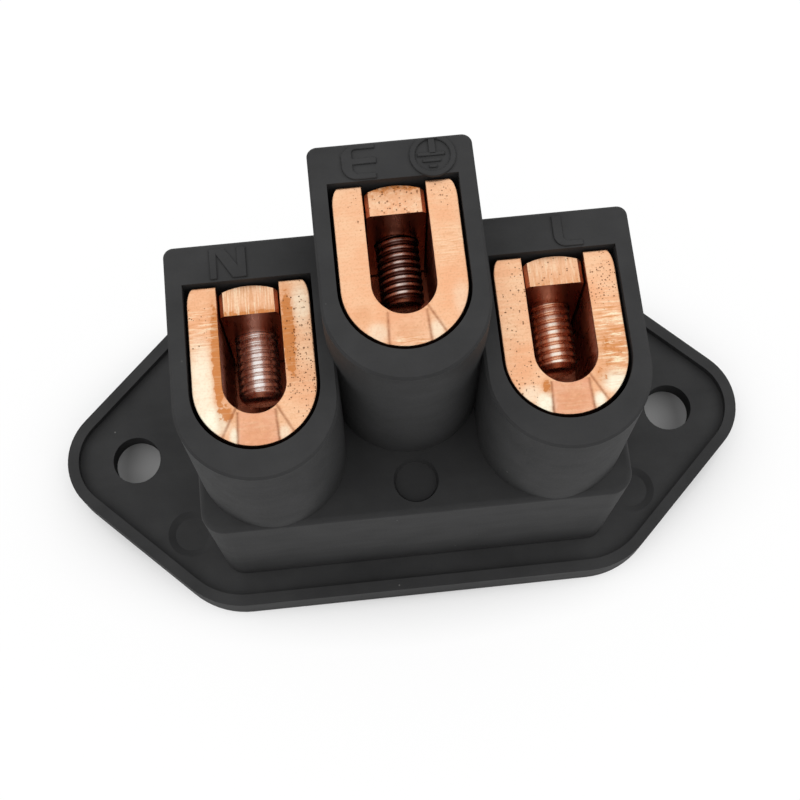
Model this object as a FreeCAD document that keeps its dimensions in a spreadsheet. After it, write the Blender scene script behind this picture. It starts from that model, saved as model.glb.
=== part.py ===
import FreeCAD, Part
import math
import os
import Sketcher

# Panel inlet for an appliance coupler, with three screw-clamp terminals.
# Millimetres. The origin lies midway between the two fixing holes, on the flange's front face.
# +X runs along the flange, +Y points to the earth side and +Z to the terminals at the back.

DRIVING_SIZES = [
    # Flange: a hexagon plate with rounded tips and a raised rim round its back
    ("flange_length", 50.0, "tip to tip"),
    ("flange_height", 23.6, "across the straight edges"),
    ("flange_floor", 2.75, "plate thickness inside the rim"),
    ("rim_height", 0.65, "rim above the plate"),
    ("rim_width", 0.8, "rim wall"),
    ("ear_angle", 44.0, "each ear's edge from the long axis, in degrees"),
    ("tip_radius", 4.5, "rounding of the ears"),
    ("shoulder_radius", 6.0, "rounding between ear and straight edge"),
    ("front_round", 0.6, "bevel round the front edge"),
    ("hole_spacing", 40.0, "fixing holes, centre to centre"),
    ("hole_diameter", 3.5, "fixing hole"),
    ("countersink", 1.2, "leg of the countersink at the front"),
    # Body: the block behind the flange that passes through the panel
    ("body_width", 27.7, "along the flange"),
    ("body_height", 18.68, "across the flange"),
    ("body_depth", 16.6, "front face to the body's back"),
    ("body_corner", 1.5, "rounded corners away from earth"),
    ("body_chamfer", 3.5, "cut corners on the earth side"),
    ("cut_corner", 0.8, "rounding where the cut corners begin"),
    ("body_round", 0.35, "rounding of the body's back edge"),
    # Plug recess
    ("recess_width", 24.6, "along the flange"),
    ("recess_height", 16.2, "across the flange"),
    ("recess_floor", 1.1, "wall between recess and body back"),
    ("recess_chamfer", 4.6, "cut corners on the earth side"),
    ("recess_corner", 2.0, "rounded corners away from earth"),
    ("mouth_round", 0.5, "bevel round the mouth's edge"),
    # Towers
    ("tower_width", 9.56, "each tower along the flange"),
    ("tower_length", 14.6, "each tower across the flange"),
    ("tower_height", 10.8, "line and neutral towers above the body"),
    ("earth_extra", 3.75, "extra height of the earth tower"),
    ("tower_set_in", 0.05, "outer towers inside the body's sides"),
    ("earth_set_in", 0.02, "earth tower's flat end inside the body's outline"),
    ("tower_step", 3.72, "line and neutral flat ends short of the earth one"),
    ("tower_flare", 0.3, "slope of the outer towers' rounded walls, out to the foot"),
    ("tower_corner", 0.6, "rounded corners of the flat end"),
    ("tower_break", 0.15, "broken edge round the tower faces"),
    ("cap_wall", 2.44, "wall between pocket and flat end"),
    ("pocket_clearance", 0.18, "pocket round the terminal block"),
    ("pocket_play", 0.12, "further room under the bend of the block"),
    # Terminal blocks and blades
    ("block_width", 7.2, "U block along the flange"),
    ("block_height", 9.9, "U block across the flange"),
    ("block_length", 10.0, "U block along Z"),
    ("block_recess", 0.3, "block below the tower face"),
    ("block_corner", 0.7, "rounded outer corners of the legs"),
    ("block_floor", 1.2, "closed front end of the block"),
    ("slot_width", 3.68, "wire slot"),
    ("slot_bottom", 1.95, "metal under the slot"),
    ("pin_spacing", 14.0, "line blade to neutral blade"),
    ("pin_rise", 4.0, "earth blade above the other two"),
    ("pin_width", 2.0, "blade thickness"),
    ("pin_height", 4.0, "blade width"),
    ("pin_setback", 3.0, "line and neutral tips inside the mouth"),
    ("earth_lead", 1.0, "earth tip ahead of the others"),
    ("pin_bevel", 0.6, "lead-in on the blade tip"),
    ("pin_clearance", 0.05, "housing slot round the blade"),
    # Clamp bars
    ("bar_clearance", 0.12, "bar to each leg of the block"),
    ("bar_height", 1.8, "bar at its crown"),
    ("bar_crown", 0.38, "rise of the crowned top"),
    ("bar_set_back", 0.3, "bar below the back of the block"),
    ("bar_bevel", 0.22, "bevel on the bar's upright end edges"),
    # Clamp screws
    ("screw_diameter", 2.6, "thread outside"),
    ("screw_length", 8.0, "under the head"),
    ("screw_gap", 2.05, "tip above the slot's bottom, as set in use"),
    ("thread_clearance", 0.05, "radial, screw in bar"),
    ("tip_bevel", 0.3, "bevel on the screw's tip"),
    ("head_diameter", 4.0, "screw head"),
    ("head_height", 1.6, "screw head"),
    ("head_clearance", 0.2, "radial, head in the tower wall"),
    ("driver_slot", 0.7, "slot across the head"),
    ("driver_depth", 0.8, "depth of that slot"),
    # Ejector marks: shallow dishes with sloping sides, left in the moulding
    ("mark_offset", 16.27, "flange marks from the middle"),
    ("mark_drop", 6.0, "flange marks below the middle"),
    ("mark_diameter", 3.4, "flange marks"),
    ("mark_depth", 0.25, "flange marks"),
    ("mark_slope", 0.5, "width of their sloping sides"),
    ("body_mark_drop", 7.17, "body mark below the middle"),
    ("body_mark_diameter", 2.9, "body mark"),
    ("body_mark_depth", 0.45, "body mark"),
    ("body_mark_slope", 0.15, "width of its sloping side"),
]


class Size:
    """A size with its number and the formula that gives it from the sheet."""

    def __init__(self, value, formula):
        self.value = value
        self.formula = formula

    def __add__(self, other):
        other = as_size(other)
        return Size(self.value + other.value, f"({self.formula} + {other.formula})")

    def __sub__(self, other):
        other = as_size(other)
        return Size(self.value - other.value, f"({self.formula} - {other.formula})")

    def __mul__(self, factor):
        factor = as_size(factor)
        return Size(self.value * factor.value, f"({self.formula} * {factor.formula})")

    def __truediv__(self, divisor):
        divisor = as_size(divisor)
        return Size(self.value / divisor.value, f"({self.formula} / {divisor.formula})")

    def __neg__(self):
        return self * -1


def as_size(number):
    """Lets a plain number stand in a formula."""
    if isinstance(number, Size):
        return number
    return Size(float(number), f"({number})")


def sine(angle):
    return Size(math.sin(math.radians(angle.value)), f"sin({angle.formula} * 1 deg)")


def cosine(angle):
    return Size(math.cos(math.radians(angle.value)), f"cos({angle.formula} * 1 deg)")


def tangent(angle):
    return Size(math.tan(math.radians(angle.value)), f"tan({angle.formula} * 1 deg)")


doc = FreeCAD.newDocument("panel_inlet")
sheet = doc.addObject("Spreadsheet::Sheet", "Sizes")
S = {}
for row, (alias, value, note) in enumerate(DRIVING_SIZES, start=1):
    sheet.set(f"A{row}", alias)
    sheet.set(f"B{row}", str(value))
    sheet.setAlias(f"B{row}", alias)
    sheet.set(f"C{row}", note)
    S[alias] = Size(value, f"Sizes.{alias}")
doc.recompute()

ZERO = as_size(0)
NEAR = 1e-4
# Degrees from the hole's axis: the countersinks narrow towards the back
COUNTERSINK_TAPER = -45

# Places that several pieces share
FLANGE_BACK = S["flange_floor"] + S["rim_height"]
TOWER_OFFSET = S["body_width"] / 2 - S["tower_set_in"] - S["tower_width"] / 2
TOWER_REACH = S["body_height"] / 2 - S["earth_set_in"]
TOWER_FACE = S["body_depth"] + S["tower_height"]
POCKET_DEPTH = S["block_recess"] + S["block_length"]
SLOT_DEPTH = S["block_length"] - S["block_floor"]
BAR_LENGTH = SLOT_DEPTH - S["bar_set_back"]
SCREW_DEPTH = S["bar_set_back"] + BAR_LENGTH / 2


class Pole:
    """Where one terminal's tower, block, screw and blade lie."""

    def __init__(self, name, side, tower_top, face, pin_y, pin_tip):
        self.name = name
        self.x = TOWER_OFFSET * side
        self.tower_top = tower_top
        self.face = face
        self.pin_x = S["pin_spacing"] / 2 * side
        self.pin_y = pin_y
        self.pin_tip = pin_tip
        self.block_top = tower_top - S["cap_wall"] - S["pocket_clearance"]
        self.block_back = face - S["block_recess"]
        self.screw_z = self.block_back - SCREW_DEPTH


LOWER_TOP = TOWER_REACH - S["tower_step"]
POLES = [
    Pole("neutral", -1, LOWER_TOP, TOWER_FACE, -S["pin_rise"] / 2, S["pin_setback"]),
    Pole("line", 1, LOWER_TOP, TOWER_FACE, -S["pin_rise"] / 2, S["pin_setback"]),
    Pole("earth", 0, TOWER_REACH, TOWER_FACE + S["earth_extra"], S["pin_rise"] / 2,
         S["pin_setback"] - S["earth_lead"]),
]
OUTER_POLES = POLES[:2]


def new_body(label):
    body = doc.addObject("PartDesign::Body", label)
    body.Label = label
    return body


def new_sketch(body, name, plane="XY_Plane", height=ZERO):
    """A sketch on one of the body's own origin planes, lifted along that plane's normal."""
    sketch = body.newObject("Sketcher::SketchObject", name)
    support = [item for item in body.Origin.OriginFeatures if item.Role == plane]
    sketch.AttachmentSupport = [(support[0], "")]
    sketch.MapMode = "FlatFace"
    sketch.setExpression("AttachmentOffset.Base.z", height.formula)
    return sketch


def bind_distance(sketch, kind, geometry, position, size):
    """Ties one point of the sketch to the origin by a bound distance."""
    index = sketch.addConstraint(Sketcher.Constraint(kind, -1, 1, geometry, position, size.value))
    sketch.setExpression(f"Constraints[{index}]", size.formula)


def fix_point(sketch, geometry, position, x, y):
    bind_distance(sketch, "DistanceX", geometry, position, x)
    bind_distance(sketch, "DistanceY", geometry, position, y)


def draw_outline(sketch, corners, arcs=None):
    """Closed outline, anticlockwise through the corners. arcs gives a centre for each side that is an arc."""
    arcs = arcs or {}
    count = len(corners)
    base = sketch.GeometryCount
    points = [FreeCAD.Vector(x.value, y.value, 0) for x, y in corners]
    for side in range(count):
        start = points[side]
        end = points[(side + 1) % count]
        if side in arcs:
            centre = FreeCAD.Vector(arcs[side][0].value, arcs[side][1].value, 0)
            circle = Part.Circle(centre, FreeCAD.Vector(0, 0, 1), (start - centre).Length)
            first = math.atan2(start.y - centre.y, start.x - centre.x)
            last = math.atan2(end.y - centre.y, end.x - centre.x)
            sketch.addGeometry(Part.ArcOfCircle(circle, first, last))
        else:
            sketch.addGeometry(Part.LineSegment(start, end))
    for side in range(count):
        following = base + (side + 1) % count
        sketch.addConstraint(Sketcher.Constraint("Coincident", base + side, 2, following, 1))
    for side, (x, y) in enumerate(corners):
        fix_point(sketch, base + side, 1, x, y)
    for side, centre in arcs.items():
        chord = points[(side + 1) % count] - points[side]
        kind, size = ("DistanceY", centre[1]) if abs(chord.x) > abs(chord.y) else ("DistanceX", centre[0])
        bind_distance(sketch, kind, base + side, 3, size)


def draw_circle(sketch, x, y, diameter):
    centre = FreeCAD.Vector(x.value, y.value, 0)
    circle = sketch.addGeometry(Part.Circle(centre, FreeCAD.Vector(0, 0, 1), diameter.value / 2))
    fix_point(sketch, circle, 3, x, y)
    index = sketch.addConstraint(Sketcher.Constraint("Diameter", circle, diameter.value))
    sketch.setExpression(f"Constraints[{index}]", diameter.formula)


def rectangle(left, bottom, right, top):
    return [(left, bottom), (right, bottom), (right, top), (left, top)]


def half_round(middle, half_width, bottom, top):
    """Flat top, upright sides and a half-round bottom, with the arc's side and centre."""
    springing = bottom + half_width
    left = middle - half_width
    right = middle + half_width
    return [(left, top), (left, springing), (right, springing), (right, top)], {1: (middle, springing)}


def pad(body, name, sketch, length, reversed_way=False):
    feature = body.newObject("PartDesign::Pad", name)
    feature.Profile = sketch
    feature.setExpression("Length", length.formula)
    feature.Reversed = reversed_way
    doc.recompute()
    return feature


def loft(body, name, first, second):
    """A solid with straight sides from one sketch to another."""
    feature = body.newObject("PartDesign::AdditiveLoft", name)
    feature.Profile = first
    feature.Sections = [second]
    feature.Ruled = True
    doc.recompute()
    return feature


def pocket(body, name, sketch, length, reversed_way=False):
    """Cuts the sketch from the body and makes sure that it met the solid."""
    before = body.Shape.Volume
    feature = body.newObject("PartDesign::Pocket", name)
    feature.Profile = sketch
    feature.setExpression("Length", length.formula)
    feature.Reversed = reversed_way
    doc.recompute()
    if body.Shape.Volume > before - NEAR:
        raise RuntimeError(f"{name} cuts nothing")
    return feature


def edge_names(shape, wanted):
    return [f"Edge{number}" for number, edge in enumerate(shape.Edges, start=1) if wanted(edge)]


def upright_at(corners):
    """Test for edges along Z that stand at one of the corners."""
    def wanted(edge):
        first = edge.Vertexes[0].Point
        last = edge.Vertexes[-1].Point
        if abs(first.x - last.x) > NEAR or abs(first.y - last.y) > NEAR:
            return False
        return any(math.hypot(first.x - x.value, first.y - y.value) < NEAR for x, y in corners)
    return wanted


def flat_at(height, inside=None):
    """Test for edges that lie wholly at one height, and inside a box of half sizes if given."""
    def wanted(edge):
        box = edge.BoundBox
        if abs(box.ZMin - height.value) > NEAR or abs(box.ZMax - height.value) > NEAR:
            return False
        if inside is None:
            return True
        x_low, x_high, y_low, y_high = inside
        fits_x = box.XMin > x_low - NEAR and box.XMax < x_high + NEAR
        return fits_x and box.YMin > y_low - NEAR and box.YMax < y_high + NEAR
    return wanted


def round_edges(body, name, wanted, radius, kind="PartDesign::Fillet"):
    base = body.Tip
    edges = edge_names(base.Shape, wanted)
    if not edges:
        raise RuntimeError(f"{name} finds no edge")
    feature = body.newObject(kind, name)
    feature.Base = (base, edges)
    feature.setExpression("Radius" if kind.endswith("Fillet") else "Size", radius.formula)
    doc.recompute()
    return feature


def flange_outline(inset):
    """The flange's edge moved in: round tips, straight ears, round shoulders and straight sides."""
    angle = S["ear_angle"]
    tip = S["tip_radius"] - inset
    bend = S["shoulder_radius"] - inset
    half_height = S["flange_height"] / 2 - inset
    tip_x = S["flange_length"] / 2 - S["tip_radius"]
    touch_x = tip_x + tip * sine(angle)
    touch_y = tip * cosine(angle)
    sharp_x = tip_x + tip / sine(angle) - half_height / tangent(angle)
    run = bend * tangent(angle / 2)
    side_x = sharp_x - run
    ear_x = sharp_x + run * cosine(angle)
    ear_y = half_height - run * sine(angle)
    bend_y = half_height - bend
    corners = [
        (touch_x, -touch_y),
        (touch_x, touch_y),
        (ear_x, ear_y),
        (side_x, half_height),
        (-side_x, half_height),
        (-ear_x, ear_y),
        (-touch_x, touch_y),
        (-touch_x, -touch_y),
        (-ear_x, -ear_y),
        (-side_x, -half_height),
        (side_x, -half_height),
        (ear_x, -ear_y),
    ]
    arcs = {
        0: (tip_x, ZERO),
        2: (side_x, bend_y),
        4: (-side_x, bend_y),
        6: (-tip_x, ZERO),
        8: (-side_x, -bend_y),
        10: (side_x, -bend_y),
    }
    return corners, arcs


def shield(half_width, half_height, chamfer):
    """Outline of body and recess: two cut corners on the earth side."""
    lower = [(-half_width, -half_height), (half_width, -half_height)]
    upper = [
        (half_width, half_height - chamfer),
        (half_width - chamfer, half_height),
        (chamfer - half_width, half_height),
        (-half_width, half_height - chamfer),
    ]
    return lower + upper, lower, upper


def build_flange(body):
    """A plate across the body's front end, and the rim that stands round the back of the plate."""
    sketch = new_sketch(body, "flange_outline")
    draw_outline(sketch, *flange_outline(ZERO))
    pad(body, "flange_plate", sketch, S["flange_floor"])
    round_edges(body, "flange_front", flat_at(ZERO), S["front_round"], "PartDesign::Chamfer")

    sketch = new_sketch(body, "rim_outline", height=S["flange_floor"])
    draw_outline(sketch, *flange_outline(ZERO))
    draw_outline(sketch, *flange_outline(S["rim_width"]))
    pad(body, "flange_rim", sketch, S["rim_height"])


def build_fixing_holes(body):
    sketch = new_sketch(body, "hole_centres", height=FLANGE_BACK)
    for side in (-1, 1):
        draw_circle(sketch, S["hole_spacing"] / 2 * side, ZERO, S["hole_diameter"])
    pocket(body, "fixing_holes", sketch, FLANGE_BACK)

    sketch = new_sketch(body, "countersink_mouths")
    for side in (-1, 1):
        mouth = S["hole_diameter"] + S["countersink"] * 2
        draw_circle(sketch, S["hole_spacing"] / 2 * side, ZERO, mouth)
    cone = pocket(body, "countersinks", sketch, S["countersink"], reversed_way=True)
    cone.TaperAngle = COUNTERSINK_TAPER
    doc.recompute()


def build_block_behind(body):
    outline, lower, upper = shield(S["body_width"] / 2, S["body_height"] / 2, S["body_chamfer"])
    sketch = new_sketch(body, "body_outline")
    draw_outline(sketch, outline)
    pad(body, "body_block", sketch, S["body_depth"])
    round_edges(body, "body_corners", upright_at(lower), S["body_corner"])
    round_edges(body, "body_cut_corners", upright_at(upper), S["cut_corner"])
    round_edges(body, "body_back_edge", flat_at(S["body_depth"]), S["body_round"])


def build_tower(body, pole):
    """One tower, from its face down to a foot below the body's rounded back edge."""
    bottom = pole.tower_top - S["tower_length"]
    outline, arc = half_round(pole.x, S["tower_width"] / 2, bottom, pole.tower_top)
    sketch = new_sketch(body, f"tower_outline_{pole.name}", height=pole.face)
    draw_outline(sketch, outline, arc)
    foot = S["body_depth"] - S["body_round"] * 2
    pad(body, f"tower_{pole.name}", sketch, pole.face - foot, reversed_way=True)
    flat_end = [outline[0], outline[3]]
    round_edges(body, f"tower_corners_{pole.name}", upright_at(flat_end), S["tower_corner"])
    face_edges = flat_at(pole.face, tower_box(pole))
    round_edges(body, f"tower_edge_{pole.name}", face_edges, S["tower_break"], "PartDesign::Chamfer")


def build_tower_slope(body, pole):
    """The rounded wall's slope, from under the face's broken edge to a foot below the body's back edge."""
    bottom = pole.tower_top - S["tower_length"]
    inner = bottom + S["tower_width"] / 2 + S["tower_corner"]
    levels = [
        ("top", pole.face - S["tower_break"] * 2, bottom),
        ("foot", S["body_depth"] - S["body_round"] * 2, bottom - S["tower_flare"]),
    ]
    sections = []
    for level, height, low in levels:
        sketch = new_sketch(body, f"slope_{level}_{pole.name}", height=height)
        draw_outline(sketch, *half_round(pole.x, S["tower_width"] / 2, low, inner))
        sections.append(sketch)
    loft(body, f"tower_slope_{pole.name}", *sections)


def tower_box(pole):
    half_width = S["tower_width"].value / 2
    top = pole.tower_top.value
    return (pole.x.value - half_width, pole.x.value + half_width, top - S["tower_length"].value, top)


def build_pocket(body, pole):
    """The pocket that the terminal block drops into, and the slot for its blade."""
    clearance = S["pocket_clearance"]
    bottom = pole.block_top - S["block_height"] - clearance - S["pocket_play"]
    half_width = S["block_width"] / 2 + clearance
    outline, arc = half_round(pole.x, half_width, bottom, pole.block_top + clearance)
    sketch = new_sketch(body, f"pocket_outline_{pole.name}", height=pole.face)
    draw_outline(sketch, outline, arc)
    pocket(body, f"terminal_pocket_{pole.name}", sketch, POCKET_DEPTH)

    half_slot = S["pin_width"] / 2 + S["pin_clearance"]
    half_height = S["pin_height"] / 2 + S["pin_clearance"]
    sketch = new_sketch(body, f"blade_slot_outline_{pole.name}", height=pole.face - POCKET_DEPTH)
    draw_outline(sketch, rectangle(pole.pin_x - half_slot, pole.pin_y - half_height,
                                   pole.pin_x + half_slot, pole.pin_y + half_height))
    pocket(body, f"blade_slot_{pole.name}", sketch, pole.face - POCKET_DEPTH)


def build_screw_holes(body):
    """Holes through the towers' flat ends, cut along +Y from inside the pockets."""
    sketch = new_sketch(body, "screw_hole_centres", plane="XZ_Plane")
    for pole in POLES:
        draw_circle(sketch, pole.x, pole.screw_z, S["head_diameter"] + S["head_clearance"] * 2)
    pocket(body, "screw_holes", sketch, S["tower_length"])


def build_recess(body):
    outline, lower, upper = shield(S["recess_width"] / 2, S["recess_height"] / 2, S["recess_chamfer"])
    sketch = new_sketch(body, "recess_outline")
    draw_outline(sketch, outline)
    pocket(body, "plug_recess", sketch, S["body_depth"] - S["recess_floor"], reversed_way=True)
    round_edges(body, "recess_corners", upright_at(lower), S["recess_corner"])
    round_edges(body, "recess_cut_corners", upright_at(upper), S["cut_corner"])
    half_width = S["recess_width"].value / 2
    half_height = S["recess_height"].value / 2
    mouth = (-half_width, half_width, -half_height, half_height)
    round_edges(body, "recess_mouth", flat_at(ZERO, mouth), S["mouth_round"], "PartDesign::Chamfer")


def sink_dishes(body, name, sketch, depth, slope):
    """Shallow dishes whose sides slope in from the sketch's circles."""
    dish = pocket(body, name, sketch, depth)
    dish.setExpression("TaperAngle", f"-atan({(slope / depth).formula})")
    doc.recompute()


def build_ejector_marks(body):
    sketch = new_sketch(body, "flange_mark_edges", height=S["flange_floor"])
    for side in (-1, 1):
        draw_circle(sketch, S["mark_offset"] * side, -S["mark_drop"], S["mark_diameter"])
    sink_dishes(body, "flange_marks", sketch, S["mark_depth"], S["mark_slope"])

    sketch = new_sketch(body, "body_mark_edge", height=S["body_depth"])
    draw_circle(sketch, ZERO, -S["body_mark_drop"], S["body_mark_diameter"])
    sink_dishes(body, "body_mark", sketch, S["body_mark_depth"], S["body_mark_slope"])


def build_housing():
    body = new_body("housing")
    build_block_behind(body)
    build_flange(body)
    for pole in POLES:
        build_tower(body, pole)
    for pole in OUTER_POLES:
        build_tower_slope(body, pole)
    for pole in POLES:
        build_pocket(body, pole)
    build_recess(body)
    build_screw_holes(body)
    build_fixing_holes(body)
    build_ejector_marks(body)
    return body


def place(body, x, y, z):
    for axis, size in (("x", x), ("y", y), ("z", z)):
        body.setExpression(f"Placement.Base.{axis}", size.formula)


def build_terminal(pole):
    """U block with a closed front end and its blade. Local origin: middle of the block's top back edge."""
    body = new_body(f"terminal_{pole.name}")
    outline, arc = half_round(ZERO, S["block_width"] / 2, -S["block_height"], ZERO)
    sketch = new_sketch(body, "block_outline")
    draw_outline(sketch, outline, arc)
    pad(body, "block", sketch, S["block_length"], reversed_way=True)
    round_edges(body, "leg_corners", upright_at([outline[0], outline[3]]), S["block_corner"])

    slot_floor = S["slot_bottom"] - S["block_height"]
    outline, arc = half_round(ZERO, S["slot_width"] / 2, slot_floor, ZERO)
    sketch = new_sketch(body, "slot_outline")
    draw_outline(sketch, outline, arc)
    pocket(body, "wire_slot", sketch, SLOT_DEPTH)

    blade_x = pole.pin_x - pole.x
    blade_y = pole.pin_y - pole.block_top
    half_pin = S["pin_width"] / 2
    half_height = S["pin_height"] / 2
    front = -S["block_length"]
    tip = pole.pin_tip - pole.block_back
    sketch = new_sketch(body, "blade_outline", height=front)
    draw_outline(sketch, rectangle(blade_x - half_pin, blade_y - half_height,
                                   blade_x + half_pin, blade_y + half_height))
    pad(body, "blade", sketch, front - tip, reversed_way=True)
    round_edges(body, "blade_tip", flat_at(tip), S["pin_bevel"], "PartDesign::Chamfer")
    place(body, pole.x, pole.block_top, pole.block_back)
    return body


def build_clamp_bar(pole):
    """Crowned bar between the legs. Local origin: middle of the crown at the bar's back end."""
    body = new_body(f"clamp_bar_{pole.name}")
    half_width = S["slot_width"] / 2 - S["bar_clearance"]
    shoulder = -S["bar_crown"]
    crown_radius = (half_width * half_width + S["bar_crown"] * S["bar_crown"]) / (S["bar_crown"] * 2)
    corners = [
        (half_width, shoulder),
        (-half_width, shoulder),
        (-half_width, -S["bar_height"]),
        (half_width, -S["bar_height"]),
    ]
    sketch = new_sketch(body, "bar_outline")
    draw_outline(sketch, corners, {0: (ZERO, -crown_radius)})
    pad(body, "bar", sketch, BAR_LENGTH, reversed_way=True)
    ends = [-half_width.value, half_width.value]

    def end_uprights(edge):
        box = edge.BoundBox
        at_side = any(abs(box.XMin - x) < NEAR and abs(box.XMax - x) < NEAR for x in ends)
        return at_side and abs(box.ZMax - box.ZMin) < NEAR and abs(box.ZMax) < NEAR
    round_edges(body, "bar_bevels", end_uprights, S["bar_bevel"], "PartDesign::Chamfer")

    sketch = new_sketch(body, "thread_centre", plane="XZ_Plane", height=S["bar_height"])
    draw_circle(sketch, ZERO, -BAR_LENGTH / 2, S["screw_diameter"] + S["thread_clearance"] * 2)
    pocket(body, "thread_bore", sketch, S["bar_height"])
    place(body, pole.x, pole.block_top, pole.block_back - S["bar_set_back"])
    return body


def build_clamp_screw(pole):
    """Slotted cheese-head screw, turned about +Y. Local origin: middle of the screw's tip."""
    body = new_body(f"clamp_screw_{pole.name}")
    radius = S["screw_diameter"] / 2
    head_radius = S["head_diameter"] / 2
    top = S["screw_length"] + S["head_height"]
    corners = [
        (ZERO, ZERO),
        (radius - S["tip_bevel"], ZERO),
        (radius, S["tip_bevel"]),
        (radius, S["screw_length"]),
        (head_radius, S["screw_length"]),
        (head_radius, top),
        (ZERO, top),
    ]
    sketch = new_sketch(body, "screw_profile")
    draw_outline(sketch, corners)
    turned = body.newObject("PartDesign::Revolution", "turned_screw")
    turned.Profile = sketch
    turned.ReferenceAxis = (sketch, ["V_Axis"])
    turned.Angle = 360
    doc.recompute()

    half_slot = S["driver_slot"] / 2
    sketch = new_sketch(body, "driver_slot_outline")
    draw_outline(sketch, rectangle(-half_slot, top - S["driver_depth"], half_slot, top))
    before = body.Shape.Volume
    cut = body.newObject("PartDesign::Pocket", "driver_slot")
    cut.Profile = sketch
    cut.setExpression("Length", S["head_diameter"].formula)
    cut.Midplane = True
    doc.recompute()
    if body.Shape.Volume > before - NEAR:
        raise RuntimeError("driver slot cuts nothing")
    slot_floor = pole.block_top - S["block_height"] + S["slot_bottom"]
    place(body, pole.x, slot_floor + S["screw_gap"], pole.screw_z)
    return body


sub_parts = [build_housing()]
for pole in POLES:
    sub_parts.append(build_terminal(pole))
for pole in POLES:
    sub_parts.append(build_clamp_bar(pole))
for pole in POLES:
    sub_parts.append(build_clamp_screw(pole))
doc.recompute()

for item in doc.Objects:
    if "Invalid" in item.State or "Error" in item.State:
        raise RuntimeError(f"{item.Label} failed: {item.State}")
for body in sub_parts:
    if body.Shape.isNull() or not body.Shape.isValid():
        raise RuntimeError(f"{body.Label} has no sound shape")
    if len(body.Shape.Solids) != 1:
        raise RuntimeError(f"{body.Label} is {len(body.Shape.Solids)} solids")

os.makedirs("parts", exist_ok=True)
for body in sub_parts:
    body.Shape.exportStep(f"parts/{body.Label}.step")
    box = body.Shape.BoundBox
    print(f"{body.Label}: {body.Shape.Volume:.1f} mm3, x {box.XMin:.2f} to {box.XMax:.2f}, "
          f"y {box.YMin:.2f} to {box.YMax:.2f}, z {box.ZMin:.2f} to {box.ZMax:.2f}")
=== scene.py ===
# %% [markdown]
# # A panel power inlet with screw-clamp terminals
# The inlet lies mouth down on a white table, so the picture shows its back: three moulded towers,
# each with a thick copper U inside, a threaded bar across the top of the U and a clamp screw
# pointing at the bend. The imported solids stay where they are. Each step below gives one of
# them its finish, or builds a finer piece in its place.

# %% Frame
import math

import bmesh
import bpy
import numpy as np
from mathutils import Matrix, Vector


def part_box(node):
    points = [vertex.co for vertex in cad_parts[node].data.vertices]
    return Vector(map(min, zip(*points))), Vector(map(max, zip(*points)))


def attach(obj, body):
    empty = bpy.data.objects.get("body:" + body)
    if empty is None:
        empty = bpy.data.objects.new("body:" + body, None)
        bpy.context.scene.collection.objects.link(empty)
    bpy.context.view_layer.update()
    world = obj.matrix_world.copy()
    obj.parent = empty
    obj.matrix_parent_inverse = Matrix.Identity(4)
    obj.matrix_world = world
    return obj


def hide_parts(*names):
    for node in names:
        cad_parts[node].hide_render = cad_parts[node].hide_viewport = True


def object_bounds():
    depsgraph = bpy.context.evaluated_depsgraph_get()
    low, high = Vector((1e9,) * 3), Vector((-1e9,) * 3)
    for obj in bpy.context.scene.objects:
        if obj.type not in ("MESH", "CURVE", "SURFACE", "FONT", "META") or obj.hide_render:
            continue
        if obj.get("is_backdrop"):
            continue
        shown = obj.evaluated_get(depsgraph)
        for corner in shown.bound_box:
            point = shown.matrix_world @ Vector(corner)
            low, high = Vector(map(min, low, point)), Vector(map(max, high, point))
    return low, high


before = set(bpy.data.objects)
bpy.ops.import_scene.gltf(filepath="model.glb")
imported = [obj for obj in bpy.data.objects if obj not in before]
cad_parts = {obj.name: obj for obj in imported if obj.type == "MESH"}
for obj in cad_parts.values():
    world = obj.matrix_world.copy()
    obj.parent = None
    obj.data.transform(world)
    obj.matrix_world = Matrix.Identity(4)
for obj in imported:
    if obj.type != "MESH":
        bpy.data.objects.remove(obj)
cad_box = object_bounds()
MM = 0.001
POLES = ("neutral", "earth", "line")
print("pieces in the frame:", sorted(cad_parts))
print("size in mm:", [round((b - a) / MM, 2) for a, b in zip(*cad_box)])

# %% [markdown]
# ## Camera
# The photographer looked down from the front side, about 18 degrees off the towers' own direction,
# with the camera rolled a little. The place was found by lining the solid's corners up with the
# photo, so a plain pinhole with no shift is enough.

# %% Camera
EYE = Vector((-3.321, -28.869, 102.08)) * MM
AIM = Vector((0.03173, 0.30241, -0.95265)).normalized()
UP = Vector((0.09876, 0.94752, 0.30407))
SENSOR = 36.0
LENS = 62.07
NEAREST = 5.0

across = AIM.cross(UP).normalized()
turn = Matrix((across, across.cross(AIM), -AIM)).transposed()
lens = bpy.data.cameras.new("photo_camera")
lens.sensor_width = SENSOR
lens.lens = LENS
lens.clip_start = NEAREST * MM
camera = bpy.data.objects.new("photo_camera", lens)
camera.matrix_world = Matrix.Translation(EYE) @ turn.to_4x4()
bpy.context.collection.objects.link(camera)
bpy.context.scene.camera = camera
middle = (cad_box[0] + cad_box[1]) / 2
print("camera distance to the part in mm:", round((EYE - middle).length / MM, 1))

# %% [markdown]
# ## Building nodes in short lines
# Every finish and the screws are made of nodes. They could be drawn in the node editor, but then
# nobody could read them here. A few helpers add a node, fill its sockets and do sums, so that a step
# reads as a list of what it uses. Patterns are laid out in the piece's own millimetres.


# %% Node helpers
def fill(tree, node, sockets):
    """Fills a node's sockets with values or links."""
    for key, value in sockets.items():
        if isinstance(value, bpy.types.NodeSocket):
            tree.links.new(value, node.inputs[key])
        else:
            node.inputs[key].default_value = value


def add_node(tree, kind, sockets=None, **settings):
    """Adds a node, sets its settings, then fills its sockets."""
    node = tree.nodes.new(kind)
    for key, value in settings.items():
        setattr(node, key, value)
    fill(tree, node, sockets or {})
    return node


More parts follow.
